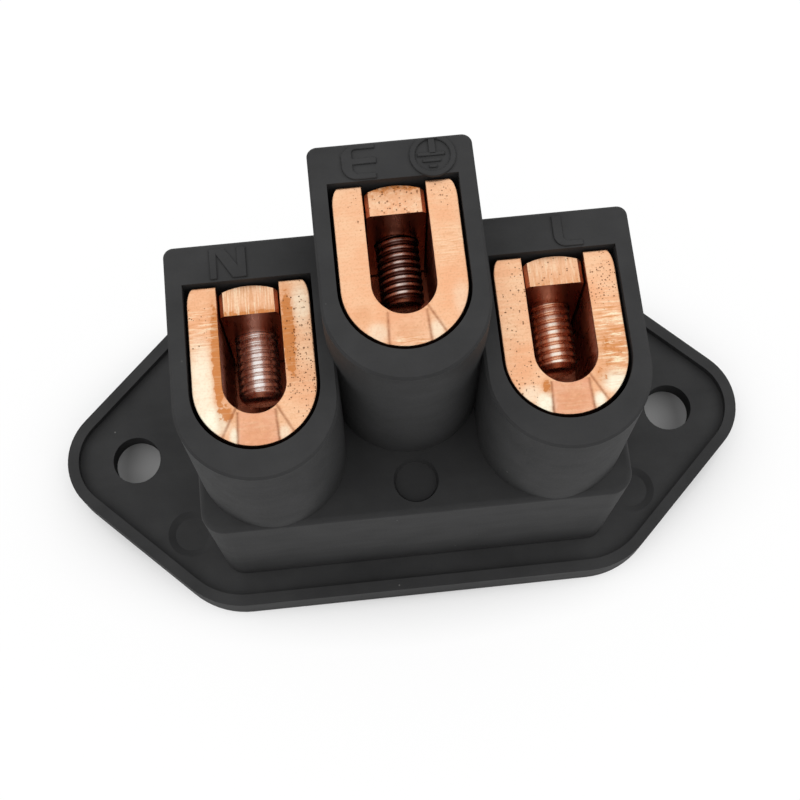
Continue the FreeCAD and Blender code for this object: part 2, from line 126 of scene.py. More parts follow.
def sums(tree, operation, a, b=0.0, clamp=False):
    """One math node's result."""
    node = add_node(tree, "ShaderNodeMath", {0: a, 1: b}, operation=operation, use_clamp=clamp)
    return node.outputs[0]


def times(tree, a, b):
    """Two numbers multiplied."""
    return sums(tree, "MULTIPLY", a, b)


def spread(tree, value, low, high, to_low=0.0, to_high=1.0):
    """A value between low and high taken to the new range, without leaving it."""
    sockets = {"Value": value, "From Min": low, "From Max": high, "To Min": to_low, "To Max": to_high}
    return add_node(tree, "ShaderNodeMapRange", sockets).outputs["Result"]


def tint(tree, share, first, second):
    """The first colour, or the second where share is 1."""
    node = add_node(tree, "ShaderNodeMix", {0: share, 6: first, 7: second}, data_type="RGBA")
    return node.outputs[2]


def object_mm(tree, stretch=(1, 1, 1), shift=(0, 0, 0)):
    """The piece's own coordinates in millimetres, stretched along its axes."""
    place = add_node(tree, "ShaderNodeTexCoord").outputs["Object"]
    scale = [s / MM for s in stretch]
    sockets = {"Vector": place, "Scale": scale, "Location": shift}
    return add_node(tree, "ShaderNodeMapping", sockets).outputs["Vector"]


print("node helpers ready")

# %% [markdown]
# ## Table
# The inlet lies on white paper that runs out of the picture. Paper lit until it clips would look the
# same, but that much light would bleach the copper too. So away from the part the paper shows plain
# white, to the camera and to gloss and glass alike, and close to the part it is a matt sheet that
# keeps a soft shadow. Close to the part the sheet's colour for gloss and bounced light is also darker:
# painted shade. Under the flange and in its holes the paper is darker to the camera: painted shade.

# %% Table
TABLE_HALF = 1.5
TABLE_GAP = 0.02
SHADE_HALF = (25.0, 12.0)
TABLE_BOUNCE_SHADE = (1.0, 1.2, 0.15, 0.68)
SHADOW_FADE = (0.85, 1.3, 0.0, 0.9)
UNDER_SHADE = (0.85, 1.0, 0.5, 1.0)
WHITE = (1, 1, 1, 1)


def shown(tree):
    """1 for the rays that show the background: the camera's own, and those of gloss and glass."""
    rays = add_node(tree, "ShaderNodeLightPath").outputs
    mirrored = sums(tree, "MAXIMUM", rays["Is Glossy Ray"], rays["Is Transmission Ray"])
    return sums(tree, "MAXIMUM", rays["Is Camera Ray"], mirrored)


bpy.context.scene.view_settings.view_transform = "Standard"
table_top = cad_box[0].z - TABLE_GAP * MM
signs = ((-1, -1), (1, -1), (1, 1), (-1, 1))
corners = [(x * TABLE_HALF, y * TABLE_HALF, table_top) for x, y in signs]
sheet = bpy.data.meshes.new("table")
sheet.from_pydata(corners, [], [(0, 1, 2, 3)])
table = bpy.data.objects.new("table", sheet)
bpy.context.collection.objects.link(table)
table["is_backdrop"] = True

paper = bpy.data.materials.new("table_paper")
paper.use_nodes = True
tree = paper.node_tree
tree.nodes.clear()
oval = object_mm(tree, [1 / half for half in SHADE_HALF] + [0])
away = add_node(tree, "ShaderNodeVectorMath", {0: oval}, operation="LENGTH").outputs["Value"]
# Painted shade: close to the part the paper's colour for gloss and bounced light drops.
bounce_shade = spread(tree, away, *TABLE_BOUNCE_SHADE)
# Painted shade: under the flange the paper's colour to the camera drops.
under = spread(tree, away, *UNDER_SHADE)
seen = add_node(tree, "ShaderNodeLightPath").outputs["Is Camera Ray"]
matt = add_node(tree, "ShaderNodeBsdfDiffuse", {"Color": tint(tree, seen, bounce_shade, under)})
plain = add_node(tree, "ShaderNodeEmission", {"Color": WHITE, "Strength": 1.0})
fade = times(tree, shown(tree), spread(tree, away, *SHADOW_FADE))
both = add_node(tree, "ShaderNodeMixShader", {0: fade, 1: matt.outputs[0], 2: plain.outputs[0]})
add_node(tree, "ShaderNodeOutputMaterial", {"Surface": both.outputs[0]})
sheet.materials.append(paper)
print("table lies at, in mm:", round(table_top / MM, 3))

# %% [markdown]
# ## Light
# The photo looks lit by large soft panels: most of the light comes from above and from the two sides,
# less from the front and the back, and hardly any along the table. Lamps would leave hard spots on
# the copper. One sky with a level for each height, shared out round about, has no edges. The camera,
# gloss and glass see it as plain white, as they see the paper.

# %% Light
SKY = ((0.0, 0.04), (0.3, 0.12), (0.52, 1.45), (0.74, 1.7), (0.88, 1.5), (1.0, 1.4))
BRIGHTEST = 2.0
SIDE_TURN = (0.15, 0.6)
SIDE_SHARE = (0.85, 1.3)
FRONT_TURN = (-0.7, 0.0)
FRONT_SHARE = 0.58
BACK_TURN = (0.15, 0.6)
BACK_SHARE = 0.65

world = bpy.data.worlds.new("studio")
world.use_nodes = True
tree = world.node_tree
tree.nodes.clear()
towards = add_node(tree, "ShaderNodeTexCoord").outputs["Generated"]
way = add_node(tree, "ShaderNodeSeparateXYZ", {"Vector": towards}).outputs
ramp = add_node(tree, "ShaderNodeValToRGB", {"Fac": way["Z"]})
stops = ramp.color_ramp.elements
while len(stops) < len(SKY):
    stops.new(0.5)
for stop, (rise, light) in zip(stops, SKY):
    stop.position = rise
    stop.color = [light / BRIGHTEST] * 3 + [1]
beside = spread(tree, sums(tree, "ABSOLUTE", way["X"]), *SIDE_TURN, *SIDE_SHARE)
before = spread(tree, way["Y"], *FRONT_TURN, BRIGHTEST * FRONT_SHARE, BRIGHTEST)
behind = spread(tree, way["Y"], *BACK_TURN, 1.0, BACK_SHARE)
round_about = times(tree, beside, times(tree, before, behind))
glow = times(tree, ramp.outputs["Color"], round_about)
strength = add_node(tree, "ShaderNodeMix", {0: shown(tree), 2: glow, 3: 1.0}).outputs[0]
dome = add_node(tree, "ShaderNodeBackground", {"Color": WHITE, "Strength": strength})
add_node(tree, "ShaderNodeOutputWorld", {"Surface": dome.outputs[0]})
bpy.context.scene.world = world
shares = [(r1**2 - r0**2) * (l0 + l1) / 2 for (r0, l0), (r1, l1) in zip(SKY, SKY[1:])]
print("light on the open table:", round(sum(shares), 2))

# %% [markdown]
# ## Black moulding
# The housing is glass-filled nylon straight from the mould: nearly black, matt, with a very fine
# grain, slight cloudiness where the melt flowed and a little dust. A plain dark colour would look like
# a drawing, so noise of three sizes varies its colour, its gloss and its surface. The solid itself has
# every edge that shows, so it only gets this finish.

# %% Black moulding
PLASTIC_DARK = (0.025, 0.025, 0.0255, 1)
PLASTIC_PALE = (0.034, 0.034, 0.0345, 1)
DUST = (0.16, 0.16, 0.155, 1)
PLASTIC_ROUGH = (0.66, 0.74)
WORN_ROUGH = 0.06
PLASTIC_GLOSS = 0.26
MOULD_GRAIN = 0.02


def grain(tree, vector, scale, detail=2.0, rough=0.5):
    """Soft noise, with so many grains in a millimetre."""
    sockets = {"Vector": vector, "Scale": scale, "Detail": detail, "Roughness": rough}
    return add_node(tree, "ShaderNodeTexNoise", sockets).outputs["Fac"]


def finish_of(name):
    """A new material with one Principled shader."""
    material = bpy.data.materials.new(name)
    material.use_nodes = True
    tree = material.node_tree
    tree.nodes.clear()
    shader = add_node(tree, "ShaderNodeBsdfPrincipled")
    add_node(tree, "ShaderNodeOutputMaterial", {"Surface": shader.outputs[0]})
    return material, tree, shader


plastic, tree, shader = finish_of("black_moulding")
fine = grain(tree, object_mm(tree), 9.0, 3.0)
cloud = grain(tree, object_mm(tree), 0.35, 3.0)
rub = grain(tree, object_mm(tree, (0.25, 2.2, 1.0)), 1.0, 4.0)
motes = add_node(tree, "ShaderNodeTexVoronoi", {"Vector": object_mm(tree), "Scale": 0.7}).outputs
mote = spread(tree, motes["Distance"], 0.02, 0.055, 1.0, 0.0)
lot = add_node(tree, "ShaderNodeSeparateColor", {"Color": motes["Color"]}).outputs[0]
dusty = times(tree, mote, spread(tree, lot, 0.86, 0.9))
shade = tint(tree, spread(tree, cloud, 0.3, 0.7), PLASTIC_DARK, PLASTIC_PALE)
matness = spread(tree, fine, 0.3, 0.7, *PLASTIC_ROUGH)
wear_and_highlight = spread(tree, rub, 0.35, 0.75, 0.0, WORN_ROUGH)
pebbles = {"Strength": 0.12, "Distance": MOULD_GRAIN * MM, "Height": fine}
look = {
    "Base Color": tint(tree, dusty, shade, DUST),
    "Roughness": sums(tree, "ADD", matness, wear_and_highlight),
    "Normal": add_node(tree, "ShaderNodeBump", pebbles).outputs[0],
    "Specular IOR Level": PLASTIC_GLOSS,
}
fill(tree, shader, look)

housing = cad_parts["housing"]
housing.data.materials.clear()
housing.data.materials.append(plastic)
print("housing faces:", len(housing.data.polygons))

# %% [markdown]
# ## Outlines of the marks
# The mould has N, E, L and the earth sign cut into it. A typeface would be quick, but these letters are
# plain engraved shapes, the E and the L with round corners. So each mark is drawn as an outline in
# millimetres on the tower's face, with its arcs worked out. The earth sign's ring is cut off straight
# near the tower's edge.

# %% Outlines of the marks
RING_CENTRE = (2.42, 8.06)
RING_RADIUS = 1.34
RING_BORE = 1.02
RING_END = 9.12


def arc(centre, radius, start, end, steps=12):
    """Points on part of a circle, angles in degrees."""
    angles = np.radians(np.linspace(start, end, steps + 1))
    return [(centre[0] + radius * math.cos(a), centre[1] + radius * math.sin(a)) for a in angles]


def strip(x0, y0, x1, y1):
    """A plain rectangle."""
    return [(x0, y0), (x1, y0), (x1, y1), (x0, y1)]


letter_n = [(-11.09, 3.3), (-11.09, 5.22), (-10.2, 5.22), (-9.46, 4.09), (-9.46, 5.22)]
letter_n += [(-8.94, 5.22), (-8.94, 3.3), (-9.77, 3.3), (-10.68, 4.86), (-10.68, 3.3)]
letter_e = [(-0.87, 9.1), (-2.3, 9.1), (-2.83, 8.6)] + arc((-1.98, 7.8), 0.85, 180, 270)
letter_e += [(-0.9, 6.95), (-0.9, 7.3)] + arc((-1.87, 7.63), 0.33, 270, 180) + [(-2.2, 7.9), (-0.83, 7.9)]
letter_e += [(-0.83, 8.27), (-2.2, 8.27)] + arc((-1.98, 8.64), 0.22, 180, 90) + [(-0.87, 8.86)]
letter_l = [(9.23, 5.25), (9.23, 4.0)] + arc((9.93, 3.97), 0.7, 180, 270) + [(10.92, 3.27), (10.92, 3.6)]
letter_l += arc((10.12, 3.93), 0.33, 270, 180) + [(9.79, 5.25)]
ring_top = math.degrees(math.asin((RING_END - RING_CENTRE[1]) / RING_RADIUS))
ring = arc(RING_CENTRE, RING_RADIUS, 180 - ring_top, 360 + ring_top, 48)
hole = arc(RING_CENTRE, RING_BORE, 90, -270, 48)[:-1]
stem = strip(2.3, 8.2, 2.55, 9.0)
bars = [strip(1.55, 8.03, 3.12, 8.24), strip(1.82, 7.64, 2.86, 7.83), strip(2.16, 7.28, 2.62, 7.46)]
MARKS = {
    "mark_n": ([letter_n], "neutral"),
    "mark_e": ([letter_e], "earth"),
    "mark_earth_ring": ([ring, hole], "earth"),
    "mark_earth_lines": ([stem] + bars, "earth"),
    "mark_l": ([letter_l], "line"),
}
print("marks drawn:", sorted(MARKS))

# %% [markdown]
# ## Raised marks
# What is cut into the mould stands proud on the moulding, here by a little over a tenth of a millimetre
# and with a softened edge. Bump would be flat in a side view, so each outline is thickened as a flat
# curve with a bevel and made a mesh, with its root sunk into the face.

# %% Raised marks
RELIEF = 0.13
MARK_EDGE = 0.05
MARK_ROOT = 0.12
TOWER_RECESS = 0.3

for name, (outlines, pole) in MARKS.items():
    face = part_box("terminal_" + pole)[1].z / MM + TOWER_RECESS
    sketch = bpy.data.curves.new(name, "CURVE")
    sketch.dimensions = "2D"
    sketch.fill_mode = "BOTH"
    sketch.extrude = (RELIEF + MARK_ROOT) / 2 - MARK_EDGE
    sketch.bevel_depth = MARK_EDGE
    sketch.bevel_resolution = 1
    sketch.offset = -MARK_EDGE
    for points in outlines:
        line = sketch.splines.new("POLY")
        line.points.add(len(points) - 1)
        line.points.foreach_set("co", [c for x, y in points for c in (x, y, 0, 1)])
        line.use_cyclic_u = True
    holder = bpy.data.objects.new(name + "_outline", sketch)
    mesh = bpy.data.meshes.new_from_object(holder)
    mesh.name = name
    mesh.transform(Matrix.Scale(MM, 4) @ Matrix.Translation((0, 0, face + (RELIEF - MARK_ROOT) / 2)))
    bpy.data.objects.remove(holder)
    mesh.materials.clear()
    mesh.materials.append(plastic)
    mark = bpy.data.objects.new(name, mesh)
    bpy.context.collection.objects.link(mark)
    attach(mark, "inlet")
    print(name, "faces:", len(mesh.polygons))

# %% [markdown]
# ## Marks on copper
# The copper blocks are cut from drawn strip and only deburred, so each has its own cutter marks, pits,
# stain and places bright from rubbing. Painted highlights lie on those places, and painted shade in the
# creases. A picture of them would be simple, but it would hold for one side only.
# Instead, where a mark lies is painted on the piece as an attribute, and noise breaks it up. Stain is
# a thin film where it is weak, and has a ragged border where it is strong. Pits are cells picked by
# chance, of several sizes.


# %% Marks on copper
PIT_CELLS = 8.5
MOST_PITS = 0.5


def painted(tree, name, base=0.0):
    """How much of a mark the piece has here, on top of what it has all over."""
    here = add_node(tree, "ShaderNodeAttribute", attribute_name=name).outputs["Fac"]
    return sums(tree, "ADD", here, base, clamp=True)


def height_band(tree, low, high):
    """A share that rises from 0 to 1 between two heights along Y, in millimetres."""
    place = add_node(tree, "ShaderNodeSeparateXYZ", {"Vector": object_mm(tree)})
    return spread(tree, place.outputs["Y"], low, high)


def stain_share(tree, fleck, stained):
    """Where the copper is stained: as painted, and between two heights if they are given."""
    tarnish = painted(tree, "stain")
    if stained:
        tarnish = sums(tree, "ADD", tarnish, height_band(tree, *stained), clamp=True)
    ragged = sums(tree, "ADD", tarnish, spread(tree, fleck, 0.25, 0.75, -0.35, 0.35))
    film = times(tree, tarnish, spread(tree, fleck, 0.3, 0.5, 0.35, 0.65))
    return sums(tree, "MAXIMUM", film, spread(tree, ragged, 0.52, 0.74, 0.0, 0.95))


def pit_share(tree, here, pits):
    """Where the copper has pits: small round spots in the cells that were picked."""
    cells = add_node(tree, "ShaderNodeTexVoronoi", {"Vector": here, "Scale": PIT_CELLS}).outputs
    lots = add_node(tree, "ShaderNodeSeparateColor", {"Color": cells["Color"]}).outputs
    reach = times(tree, cells["Distance"], spread(tree, lots[1], 0.0, 1.0, 0.65, 1.7))
    chosen = sums(tree, "LESS_THAN", lots[0], times(tree, painted(tree, "pits", pits), MOST_PITS))
    return times(tree, chosen, spread(tree, reach, 0.2, 0.46, 1.0, 0.0))


print("pit cells in a millimetre:", PIT_CELLS, "of which at most this share are pits:", MOST_PITS)

# %% [markdown]
# ## Copper
# Bare copper is a metal with a pink-orange colour, so its look is mostly what it reflects. Six separate
# materials would soon differ by mistake, so one recipe serves all blocks and bars: the colour starts as
# clean copper, and each mark in turn tints it. Cutter marks and pits also lift or sink the surface a
# little.

# %% Copper
COPPER_DEEP = (0.91, 0.48, 0.27, 1)
COPPER_PALE = (0.95, 0.6, 0.375, 1)
# Pale cream of painted highlights, on places bright from rubbing.
RUBBED_AND_HIGHLIGHT = (1.0, 0.96, 0.77, 1)
PRESSED = (0.77, 0.35, 0.22, 1)
STAIN = (0.62, 0.22, 0.06, 1)
CUT_BRIGHT = (1.0, 0.86, 0.6, 1)
CUT_DARK = (0.7, 0.3, 0.11, 1)
DULL = (0.64, 0.3, 0.14, 1)
# Dark brown of painted shade along the foot's border and in the creases.
CREASE_SHADE_BROWN = (0.36, 0.13, 0.055, 1)
CREASE_SHADE_SHARE = 0.85
PIT_BROWN = (0.2, 0.07, 0.025, 1)
PIT_SHARE = 0.75
COPPER_ROUGH = (0.32, 0.46)
DIRTY_ROUGH = 0.25
CUT_DEPTH = 0.03


def copper_finish(name, shift, run=(0.5, 5.0, 1.0), cuts=0.12, pits=0.0, rub_and_highlight=0.0, stained=None):
    """Bare copper: grain, cutter marks, pits, stain, rubbing with painted highlights, and painted crease
    shade.
    """
    material, tree, shader = finish_of(name)
    here = object_mm(tree, shift=shift)
    drawn = grain(tree, object_mm(tree, run, shift), 1.5, 5.0, 0.65)
    patch = grain(tree, here, 0.5, 3.0)
    fleck = grain(tree, here, 3.2, 4.0, 0.6)
    speck = grain(tree, here, 8.0, 2.0)

    # Painted highlights on places bright from rubbing.
    rub_and_highlight_share = times(tree, painted(tree, "rub_and_highlight", rub_and_highlight), spread(tree, fleck, 0.25, 0.5, 0.6, 1.0))
    pressed = times(tree, painted(tree, "foot"), spread(tree, fleck, 0.3, 0.6, 0.5, 0.95))
    cut = painted(tree, "chatter", cuts)
    away_from_highlight = spread(tree, rub_and_highlight_share, 0.0, 1.0, 1.0, 0.2)
    # Painted shade along the foot's border and the creases, broken up by noise.
    crease_shade = times(tree, painted(tree, "crease_shade"), spread(tree, fleck, 0.3, 0.65, 1.0, 0.55))
    pit = pit_share(tree, here, pits)

    colour = tint(tree, spread(tree, patch, 0.35, 0.7), COPPER_DEEP, COPPER_PALE)
    colour = tint(tree, rub_and_highlight_share, colour, RUBBED_AND_HIGHLIGHT)
    colour = tint(tree, pressed, colour, PRESSED)
    colour = tint(tree, stain_share(tree, fleck, stained), colour, STAIN)
    colour = tint(tree, times(tree, cut, spread(tree, drawn, 0.47, 0.38)), colour, CUT_BRIGHT)
    colour = tint(tree, times(tree, cut, spread(tree, drawn, 0.5, 0.62)), colour, CUT_DARK)
    colour = tint(tree, times(tree, spread(tree, speck, 0.5, 0.75, 0.0, 0.4), away_from_highlight), colour, DULL)
    colour = tint(tree, times(tree, crease_shade, CREASE_SHADE_SHARE), colour, CREASE_SHADE_BROWN)
    colour = tint(tree, times(tree, pit, PIT_SHARE), colour, PIT_BROWN)

    smooth = spread(tree, drawn, 0.3, 0.75, *COPPER_ROUGH)
    dirt = times(tree, sums(tree, "MAXIMUM", pit, crease_shade), DIRTY_ROUGH)
    height = sums(tree, "SUBTRACT", times(tree, drawn, cut), pit)
    scored = {"Strength": 0.6, "Distance": CUT_DEPTH * MM, "Height": height}
    look = {
        "Base Color": colour,
        "Roughness": sums(tree, "ADD", smooth, dirt),
        "Normal": add_node(tree, "ShaderNodeBump", scored).outputs[0],
        "Metallic": 1.0,
    }
    fill(tree, shader, look)
    return material


print("copper recipe ready")

# %% [markdown]
# ## Copper of each piece
# No two pieces were cut from the same place. One material for all would show like marks side by side,
# so each piece has its own shift in the noise. The blocks are scored along their width. Two bars have
# upright cutter marks and the third is mottled, and each is stained towards one edge. The blocks' walls
# and the bars' sides share a darker, browner finish: tarnish, with painted shade, since they lie inside
# the slots.

# %% Copper of each piece
UPRIGHT = (6.0, 0.45, 1.0)
MOTTLED = (2.0, 2.5, 1.0)
# Dark brown of the walls: tarnish, with painted shade for the slots they lie in.
WALL_DARK = (0.34, 0.11, 0.062, 1)
WALL_PALE = (0.5, 0.2, 0.115, 1)
WALL_ROUGH = (0.22, 0.42)

BLOCK_COPPER = {
    "neutral": copper_finish("copper_neutral", (3.1, 7.7, 1.3)),
    "earth": copper_finish("copper_earth", (11.4, 2.2, 5.9), cuts=0.08),
    "line": copper_finish("copper_line", (6.3, 15.2, 9.4), run=(0.5, 4.2, 1.0)),
}
BAR_COPPER = {
    "neutral": copper_finish(
        "bar_neutral", (2.3, 5.1, 3.7), UPRIGHT, cuts=0.5, rub_and_highlight=0.12, stained=(1.8, 1.2)
    ),
    "earth": copper_finish(
        "bar_earth", (8.8, 1.9, 2.6), MOTTLED, cuts=0.25, pits=0.45, rub_and_highlight=0.05, stained=(5.6, 6.8)
    ),
    "line": copper_finish(
        "bar_line", (5.7, 9.3, 7.1), UPRIGHT, cuts=0.35, pits=0.1, rub_and_highlight=0.08, stained=(2.4, 0.2)
    ),
}

# Painted shade with tarnish: the dark brown finish of slot walls and bar sides.
wall_copper, tree, shader = finish_of("copper_wall")
brown = grain(tree, object_mm(tree), 0.8, 4.0)
lines = grain(tree, object_mm(tree, (3.0, 3.0, 0.35)), 1.5, 4.0)
look = {
    "Base Color": tint(tree, brown, WALL_DARK, WALL_PALE),
    "Roughness": spread(tree, lines, 0.3, 0.7, *WALL_ROUGH),
    "Metallic": 1.0,
}
fill(tree, shader, look)
print("copper finishes:", len(BLOCK_COPPER) + len(BAR_COPPER) + 1)

# %% [markdown]
# ## The strip of a U block
# Seen end on, each block is a strip bent into a U: two legs and a bend, thicker at the bottom. The end
# face could be a flat cut of the solid, but its rounded edges and staked foot need points to move. So
# the face is a grid that follows the strip from one leg's end to the other, with its rows close
# together at the edges.

# %% The strip of a U block
BEND = 1.95
EDGE_ROUND = 0.06
EDGE_STEPS = (0, 0.1, 0.3, 0.6, 1)
ACROSS_STEPS = 25
CORNER = (0.45, 1.2)
CORNER_STEPS = 10
LEG_STEPS = 56
BEND_STEPS = 181


def strip_paths(half, height, slot_half):
    """Inner and outer points of the U from one leg's end to the other, and how far each is from an end."""
    corner = np.radians(np.linspace(0, 90, CORNER_STEPS))
    inner_centre = -height + BEND + slot_half
    outer_centre = -height + half
    straight = np.linspace(CORNER[1], -outer_centre, LEG_STEPS)[1:]
    leg = np.concatenate([CORNER[1] * (1 - np.cos(corner)), straight])
    drop = np.clip((CORNER[1] - leg) / CORNER[1], 0, 1)
    inset = CORNER[0] * (1 - np.sqrt(1 - drop**2))
    outer = np.stack([-half + inset, -leg], 1)
    inner = np.stack([np.full_like(leg, -slot_half), -leg * inner_centre / outer_centre], 1)
    bend = np.radians(np.linspace(180, 360, BEND_STEPS))[1:-1]
    outer_arc = np.stack([half * np.cos(bend), outer_centre + half * np.sin(bend)], 1)
    inner_arc = np.stack([slot_half * np.cos(bend), inner_centre + slot_half * np.sin(bend)], 1)
    mirror = np.array([-1, 1])
    inner = np.concatenate([inner, inner_arc, inner[::-1] * mirror])
    outer = np.concatenate([outer, outer_arc, outer[::-1] * mirror])
    ends = np.concatenate([leg, np.full(len(bend), height), leg[::-1]])
    return inner, outer, ends


def end_grid(inner, outer, ends):
    """Points across the strip, and how far each is from the nearest edge."""
    close = EDGE_ROUND * np.array(EDGE_STEPS)
    width = np.linalg.norm(outer - inner, axis=1)[:, None]
    between = np.linspace(0, 1, ACROSS_STEPS)[None, 1:-1] * (width - 2 * EDGE_ROUND) + EDGE_ROUND
    reach = np.concatenate([np.tile(close, (len(ends), 1)), between, width - close[::-1]], 1)
    xy = inner[:, None] + (outer - inner)[:, None] * (reach / width)[..., None]
    return xy, np.minimum(np.minimum(reach, width - reach), ends[:, None])


def rounded(gap):
    """How far a rounded edge has dropped at this distance from it."""
    near = EDGE_ROUND - np.minimum(gap, EDGE_ROUND)
    return EDGE_ROUND - np.sqrt(EDGE_ROUND**2 - near**2)


print("points across the strip:", ACROSS_STEPS - 2 + 2 * len(EDGE_STEPS))

# %% [markdown]
# ## The staked foot
# The bottom of each U looks pressed by a punch: there is a sunk foot, a tilted facet on each side and,
# on some sides, a crease where the facet ends. Bump would be flat in a side view, and these places catch
# the light apart from the rest of the face, so they are real heights on the grid. Dark brown lines of
# painted shade along the foot's border and the creases, and the pinker foot, are kept as shares for
# the copper's recipe.

# %% The staked foot
FOOT_HALF = (1.1, 1.2)
FOOT_SINK = 0.06
FOOT_RISE = 0.15
FOOT_TONE = {"neutral": 0.65, "earth": 0.25, "line": 0.75}
FACET_DROP = 0.11
FACET_WIDTH = 0.85
CREASE = {"neutral": (1, 1), "earth": (0, 1), "line": (0, 1)}
CREASE_START = 1.15
CREASE_SLOPE = 0.526
CREASE_RISE = 0.02
CREASE_DEPTH = 0.04
SHADE_LINE_HALF = 0.14


def foot_form(x, y, height, slot_half, creased):
    """Heights of the sunk foot, its facets and creases, then where painted shade lines run and where the
    foot is.
    """
    inner_y = -height + BEND
    reach = np.clip((inner_y - y) / BEND, 0, 1)
    foot_half = FOOT_HALF[0] + (FOOT_HALF[1] - FOOT_HALF[0]) * reach
    crease_top = inner_y + slot_half - math.sqrt(slot_half**2 - CREASE_START**2)
    crease = CREASE_START + CREASE_SLOPE * (crease_top - y)
    low = y < crease_top + CREASE_RISE
    beyond = crease - np.abs(x)
    form = np.where(low & (beyond > 0), -FACET_DROP * beyond / FACET_WIDTH, 0.0)
    at_foot = y < inner_y + FOOT_RISE
    foot = at_foot & (np.abs(x) < foot_half)
    form = np.where(foot, -FOOT_SINK, form)
    # Painted shade: a dark line along the foot's border and along each crease.
    crease_shade = np.where(at_foot, np.clip(1 - np.abs(np.abs(x) - foot_half) / SHADE_LINE_HALF, 0, 1), 0)
    for side, cut in zip((-1, 1), creased):
        near = np.clip(1 - np.abs(side * x - crease) / SHADE_LINE_HALF, 0, 1)
        line = np.where(low & (side * x > 0), cut * near, 0)
        form = form - CREASE_DEPTH * line
        crease_shade = np.maximum(crease_shade, line)
    return form, crease_shade, foot


print("creases:", sum(sum(sides) for sides in CREASE.values()))

# %% [markdown]
# ## Painting the marks
# Each block has been handled in its own way: made bright by rubbing on a leg, with painted highlights
# there, stained along the slot, pitted where the strip was rough. A brush could paint this, but its
# strokes couldn't be read or changed here.
# So every mark is a few soft spots, in millimetres from the top of the block's middle line, and stored
# as one number for each point of the mesh.

# %% Painting the marks
# In each block the first list is places bright from rubbing, which carry painted highlights too.
MARKED = {
    "neutral": {
        "rub_and_highlight": [
            (-3.0, -6.2, 0.75, 3.0, 0.8),
            (-2.6, -8.2, 1.0, 1.1, 1.0),
            (-1.35, -9.2, 0.3, 0.5, 0.8),
            (1.5, -9.3, 0.35, 0.5, 0.5),
            (3.0, -1.6, 0.6, 1.2, 0.5),
        ],
        "stain": [
            (-2.05, -4.6, 0.36, 4.2, 1.0),
            (2.2, -3.2, 0.45, 3.2, 1.0),
            (-1.7, -7.8, 0.5, 0.7, 0.8),
            (0.0, -9.1, 0.9, 0.9, 0.3),
        ],
        "pits": [(2.8, -4.8, 1.0, 3.6, 0.8), (-2.9, -2.4, 0.8, 1.6, 0.3)],
        "chatter": [(-2.9, -2.6, 0.9, 1.5, 0.5)],
    },
    "earth": {
        "rub_and_highlight": [(-1.75, -9.0, 0.6, 0.6, 0.45), (1.55, -9.1, 0.4, 0.6, 0.5), (3.1, -7.4, 0.5, 1.0, 0.25)],
        "stain": [(0.0, -9.0, 0.8, 0.5, 0.35), (-2.5, -7.9, 0.5, 0.7, 0.35)],
        "pits": [(2.9, -0.8, 0.9, 0.9, 0.35), (-2.2, -1.2, 0.5, 1.4, 0.35)],
        "chatter": [(2.8, -4.2, 0.8, 1.2, 0.3), (0.0, -9.6, 1.0, 0.3, 0.8)],
    },
    "line": {
        "rub_and_highlight": [
            (-1.6, -9.1, 0.6, 0.7, 1.0),
            (-2.3, -8.5, 0.7, 0.6, 0.5),
            (2.6, -8.2, 0.8, 0.7, 1.0),
            (1.55, -9.2, 0.35, 0.5, 1.0),
        ],
        "stain": [
            (2.6, -6.2, 1.0, 1.7, 0.62),
            (1.9, -7.7, 0.5, 0.6, 0.6),
            (-1.4, -8.1, 0.3, 0.5, 0.8),
            (0.0, -9.0, 1.0, 0.8, 0.4),
        ],
        "pits": [(2.7, -2.0, 1.0, 1.7, 0.9), (-2.5, -3.4, 0.9, 3.4, 0.35), (-2.4, -7.4, 0.8, 1.2, 0.5)],
        "chatter": [(2.8, -5.4, 1.0, 2.4, 1.0)],
    },
}


def store(mesh, name, values):
    """Keeps one number for every point of the mesh under a name."""
    mesh.attributes.new(name, "FLOAT", "POINT").data.foreach_set("value", values)


def paint(mesh, spots):
    """Stores each mark as an attribute: soft spots of (x, y, half width, half height, strength)."""
    places = np.zeros(len(mesh.vertices) * 3)
    mesh.vertices.foreach_get("co", places)
    x, y, _ = places.reshape(-1, 3).T
    for mark, patches in spots.items():
        share = np.zeros(len(x))
        for middle_x, middle_y, wide, high, strength in patches:
            off = ((x - middle_x) / wide) ** 2 + ((y - middle_y) / high) ** 2
            share = np.maximum(share, strength * np.exp(-(off**2)))
        store(mesh, mark, share)


for pole, marks in MARKED.items():
    print("spots on the", pole, "block:", sum(len(spots) for spots in marks.values()))

# %% [markdown]
# ## Top and rest of a block
# The grid is carried straight down to the floor of the slot and closed there. Below the floor the block
# and its blade are plain, so they are the solid's own shape, cut off at that level and closed again. The
# whole block could be one fine mesh, but two halves keep the fine points where they show.

# %% Top and rest of a block
SLOT_DEPTH = 9.0
SLOT_PLAY = 0.12
END_FACE = 0
WALL = 1
LEVEL_FACE = 0.9
WELD = 1e-7
FLAT = math.radians(0.5)


